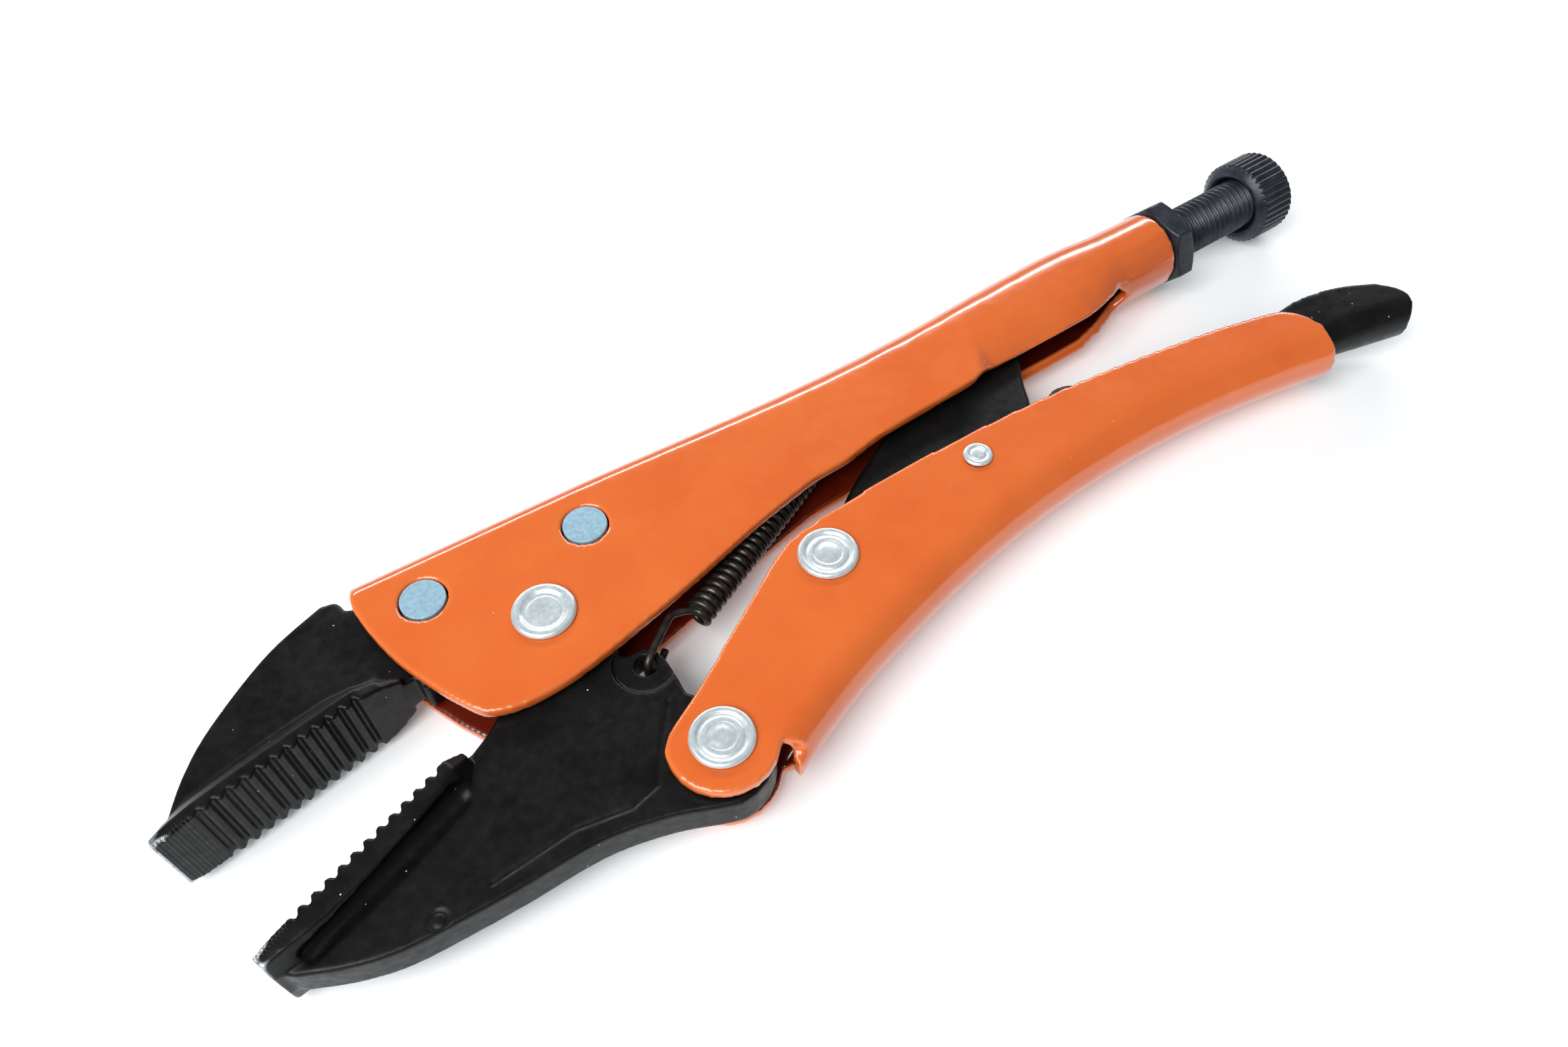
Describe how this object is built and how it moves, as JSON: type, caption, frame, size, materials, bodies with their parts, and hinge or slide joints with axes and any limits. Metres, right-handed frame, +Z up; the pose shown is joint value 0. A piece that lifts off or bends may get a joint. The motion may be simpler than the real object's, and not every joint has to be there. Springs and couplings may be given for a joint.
{
  "type": "locking pliers",
  "caption": "Locking pliers with a toothed fixed jaw, a sprung moving jaw, an over-centre toggle handle, a release lever and a screw that sets the grip.",
  "frame": {"origin": "middle of the bounding box's bottom face, with the tool lying on its side", "axes": "+X runs back along the adjusting screw towards the knob, +Y towards the back of the upper handle, +Z up, along the rivets' axes"},
  "size_m": [0.2586, 0.0724, 0.0188],
  "materials": {
    "orange_paint": "gloss",
    "black_paint": "satin",
    "black_oxide": "satin",
    "zinc_plate": "bright",
    "pin_steel": "matte",
    "spring_steel": "oiled"
  },
  "bodies": {
    "body": {"body_shell": "orange_paint", "fixed_jaw": "black_paint", "front_jaw_pin": "pin_steel", "rear_jaw_pin": "pin_steel", "jaw_pivot_rivet": "zinc_plate", "tension_spring": "spring_steel"},
    "moving_jaw": {"moving_jaw": "black_paint", "handle_pivot_rivet": "zinc_plate"},
    "lower_handle": {"lower_handle": "orange_paint", "toggle_rivet": "zinc_plate", "release_lever_rivet": "zinc_plate"},
    "toggle_link": {"toggle_link": "black_paint"},
    "release_lever": {"release_lever": "black_paint"},
    "adjusting_screw": {"adjusting_screw": "black_oxide"},
    "adjusting_knob": {"adjusting_knob": "black_oxide"},
    "lock_nut": {"lock_nut": "black_oxide"}
  },
  "joints": [
    {"name": "jaw_pivot", "type": "hinge", "parent": "body", "child": "moving_jaw", "pos_m": [-0.06173, 0.01055, 0.00938], "axis": [0, 0, 1], "range_deg": [0, 9.7], "deforming": ["tension_spring"]},
    {"name": "handle_pivot", "type": "hinge", "parent": "moving_jaw", "child": "lower_handle", "pos_m": [-0.04973, -0.02645, 0.00938], "axis": [0, 0, -1], "range_deg": [0, 48]},
    {"name": "toggle_pivot", "type": "hinge", "parent": "lower_handle", "child": "toggle_link", "pos_m": [-0.01563, -0.00735, 0.00938], "axis": [0, 0, 1], "range_deg": [0, 57.7]},
    {"name": "release_lever_pivot", "type": "hinge", "parent": "lower_handle", "child": "release_lever", "pos_m": [0.01997, -0.00515, 0.00938], "axis": [0, 0, 1], "range_deg": [0, 7]},
    {"name": "screw_travel", "type": "slide", "parent": "body", "child": "adjusting_screw", "axis": [1, 0, 0], "range_m": [0, 0.012]},
    {"name": "knob_turn", "type": "hinge", "parent": "adjusting_screw", "child": "adjusting_knob", "pos_m": [0.11927, 0.0228, 0.00938], "axis": [1, 0, 0], "range_deg": [0, 2880]},
    {"name": "lock_nut_turn", "type": "hinge", "parent": "body", "child": "lock_nut", "pos_m": [0.09607, 0.0228, 0.00938], "axis": [1, 0, 0], "continuous": true}
  ],
  "couplings": [
    {"joint": "jaw_pivot", "follows": "handle_pivot", "ratio": 0.2},
    {"joint": "toggle_pivot", "follows": "handle_pivot", "ratio": 1.2},
    {"joint": "knob_turn", "follows": "screw_travel", "rad_per_m": 4188.8}
  ]
}
